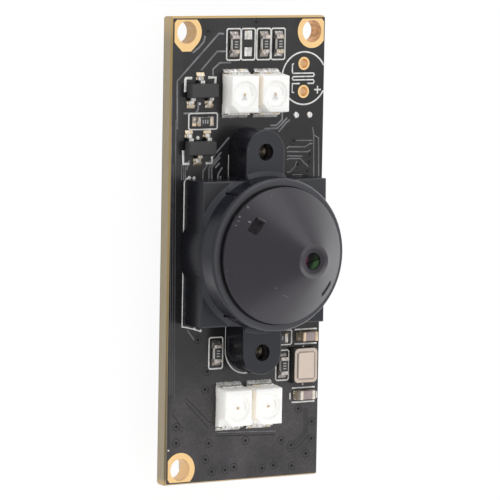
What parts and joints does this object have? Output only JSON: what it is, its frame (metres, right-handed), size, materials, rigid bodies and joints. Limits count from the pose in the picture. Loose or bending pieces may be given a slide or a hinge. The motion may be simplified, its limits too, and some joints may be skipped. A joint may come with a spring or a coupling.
{
  "type": "camera module",
  "caption": "Small board camera with a pinhole cone lens in a screwed-on holder, white light emitting diodes above and below it and a side entry socket on the back.",
  "frame": {"origin": "on the lens axis, at the level of the lowest face of the socket on the back", "axes": "+Z along the lens axis towards the scene it looks at, +Y along the board's long side towards its two-hole end, +X across the board"},
  "size_m": [0.016, 0.042, 0.0159],
  "materials": {
    "board_mask": "semi-gloss black mask over woven laminate",
    "gold_plating": "thin gold plating",
    "holder_plastic": "moulded, satin",
    "screw_steel": "plated steel",
    "barrel_plastic": "turned, satin",
    "element_glass": "coated, polished",
    "black_ring": "black anodised",
    "filter_glass": "coated, polished",
    "sensor_ceramic": "matt",
    "led_white": "moulded, satin",
    "led_resin": "clear, smooth",
    "die_gold": "polished",
    "tinned_metal": "tinned",
    "package_black": "moulded, matt",
    "resistor_black": "glazed film",
    "capacitor_ceramic": "matt",
    "crystal_ceramic": "matt",
    "crystal_lid_metal": "plated, satin",
    "solder": "bright, uneven",
    "socket_nylon": "moulded, satin"
  },
  "bodies": {
    "root": {"back_capacitors": "capacitor_ceramic", "back_chip_caps": "tinned_metal", "back_resistors": "resistor_black", "back_solder": "solder", "capacitor_body_1": "capacitor_ceramic", "capacitor_body_2": "capacitor_ceramic", "capacitor_caps": "tinned_metal", "circuit_board": "board_mask", "controller_chip": "package_black", "controller_contacts": "tinned_metal", "crystal_base": "crystal_ceramic", "crystal_lid": "crystal_lid_metal", "element_spacer": "black_ring", "front_lens_element": "element_glass", "front_solder": "solder", "holder_screw_bottom": "screw_steel", "holder_screw_top": "screw_steel", "image_sensor": "sensor_ceramic", "infrared_filter": "filter_glass", "led_contacts": "tinned_metal", "led_dies": "die_gold", "led_housing_1": "led_white", "led_housing_2": "led_white", "led_housing_3": "led_white", "led_housing_4": "led_white", "led_resin_1": "led_resin", "led_resin_2": "led_resin", "led_resin_3": "led_resin", "led_resin_4": "led_resin", "lens_barrel": "barrel_plastic", "lens_holder": "holder_plastic", "lens_retaining_ring": "black_ring", "memory_chip": "package_black", "memory_leads": "tinned_metal", "microphone_hole_plating": "gold_plating", "middle_lens_element": "element_glass", "mounting_hole_plating_1": "gold_plating", "mounting_hole_plating_2": "gold_plating", "mounting_hole_plating_3": "gold_plating", "rear_lens_element": "element_glass", "regulator_body": "package_black", "regulator_leads": "tinned_metal", "resistor_body_1": "resistor_black", "resistor_body_2": "resistor_black", "resistor_body_3": "resistor_black", "resistor_body_4": "resistor_black", "resistor_body_5": "resistor_black", "resistor_body_6": "resistor_black", "resistor_body_7": "resistor_black", "resistor_caps": "tinned_metal", "sensor_cover_glass": "element_glass", "socket_housing": "socket_nylon", "socket_pins": "tinned_metal", "socket_tabs": "tinned_metal", "transistor_body_1": "package_black", "transistor_body_2": "package_black", "transistor_leads_1": "tinned_metal", "transistor_leads_2": "tinned_metal"}
  },
  "joints": []
}
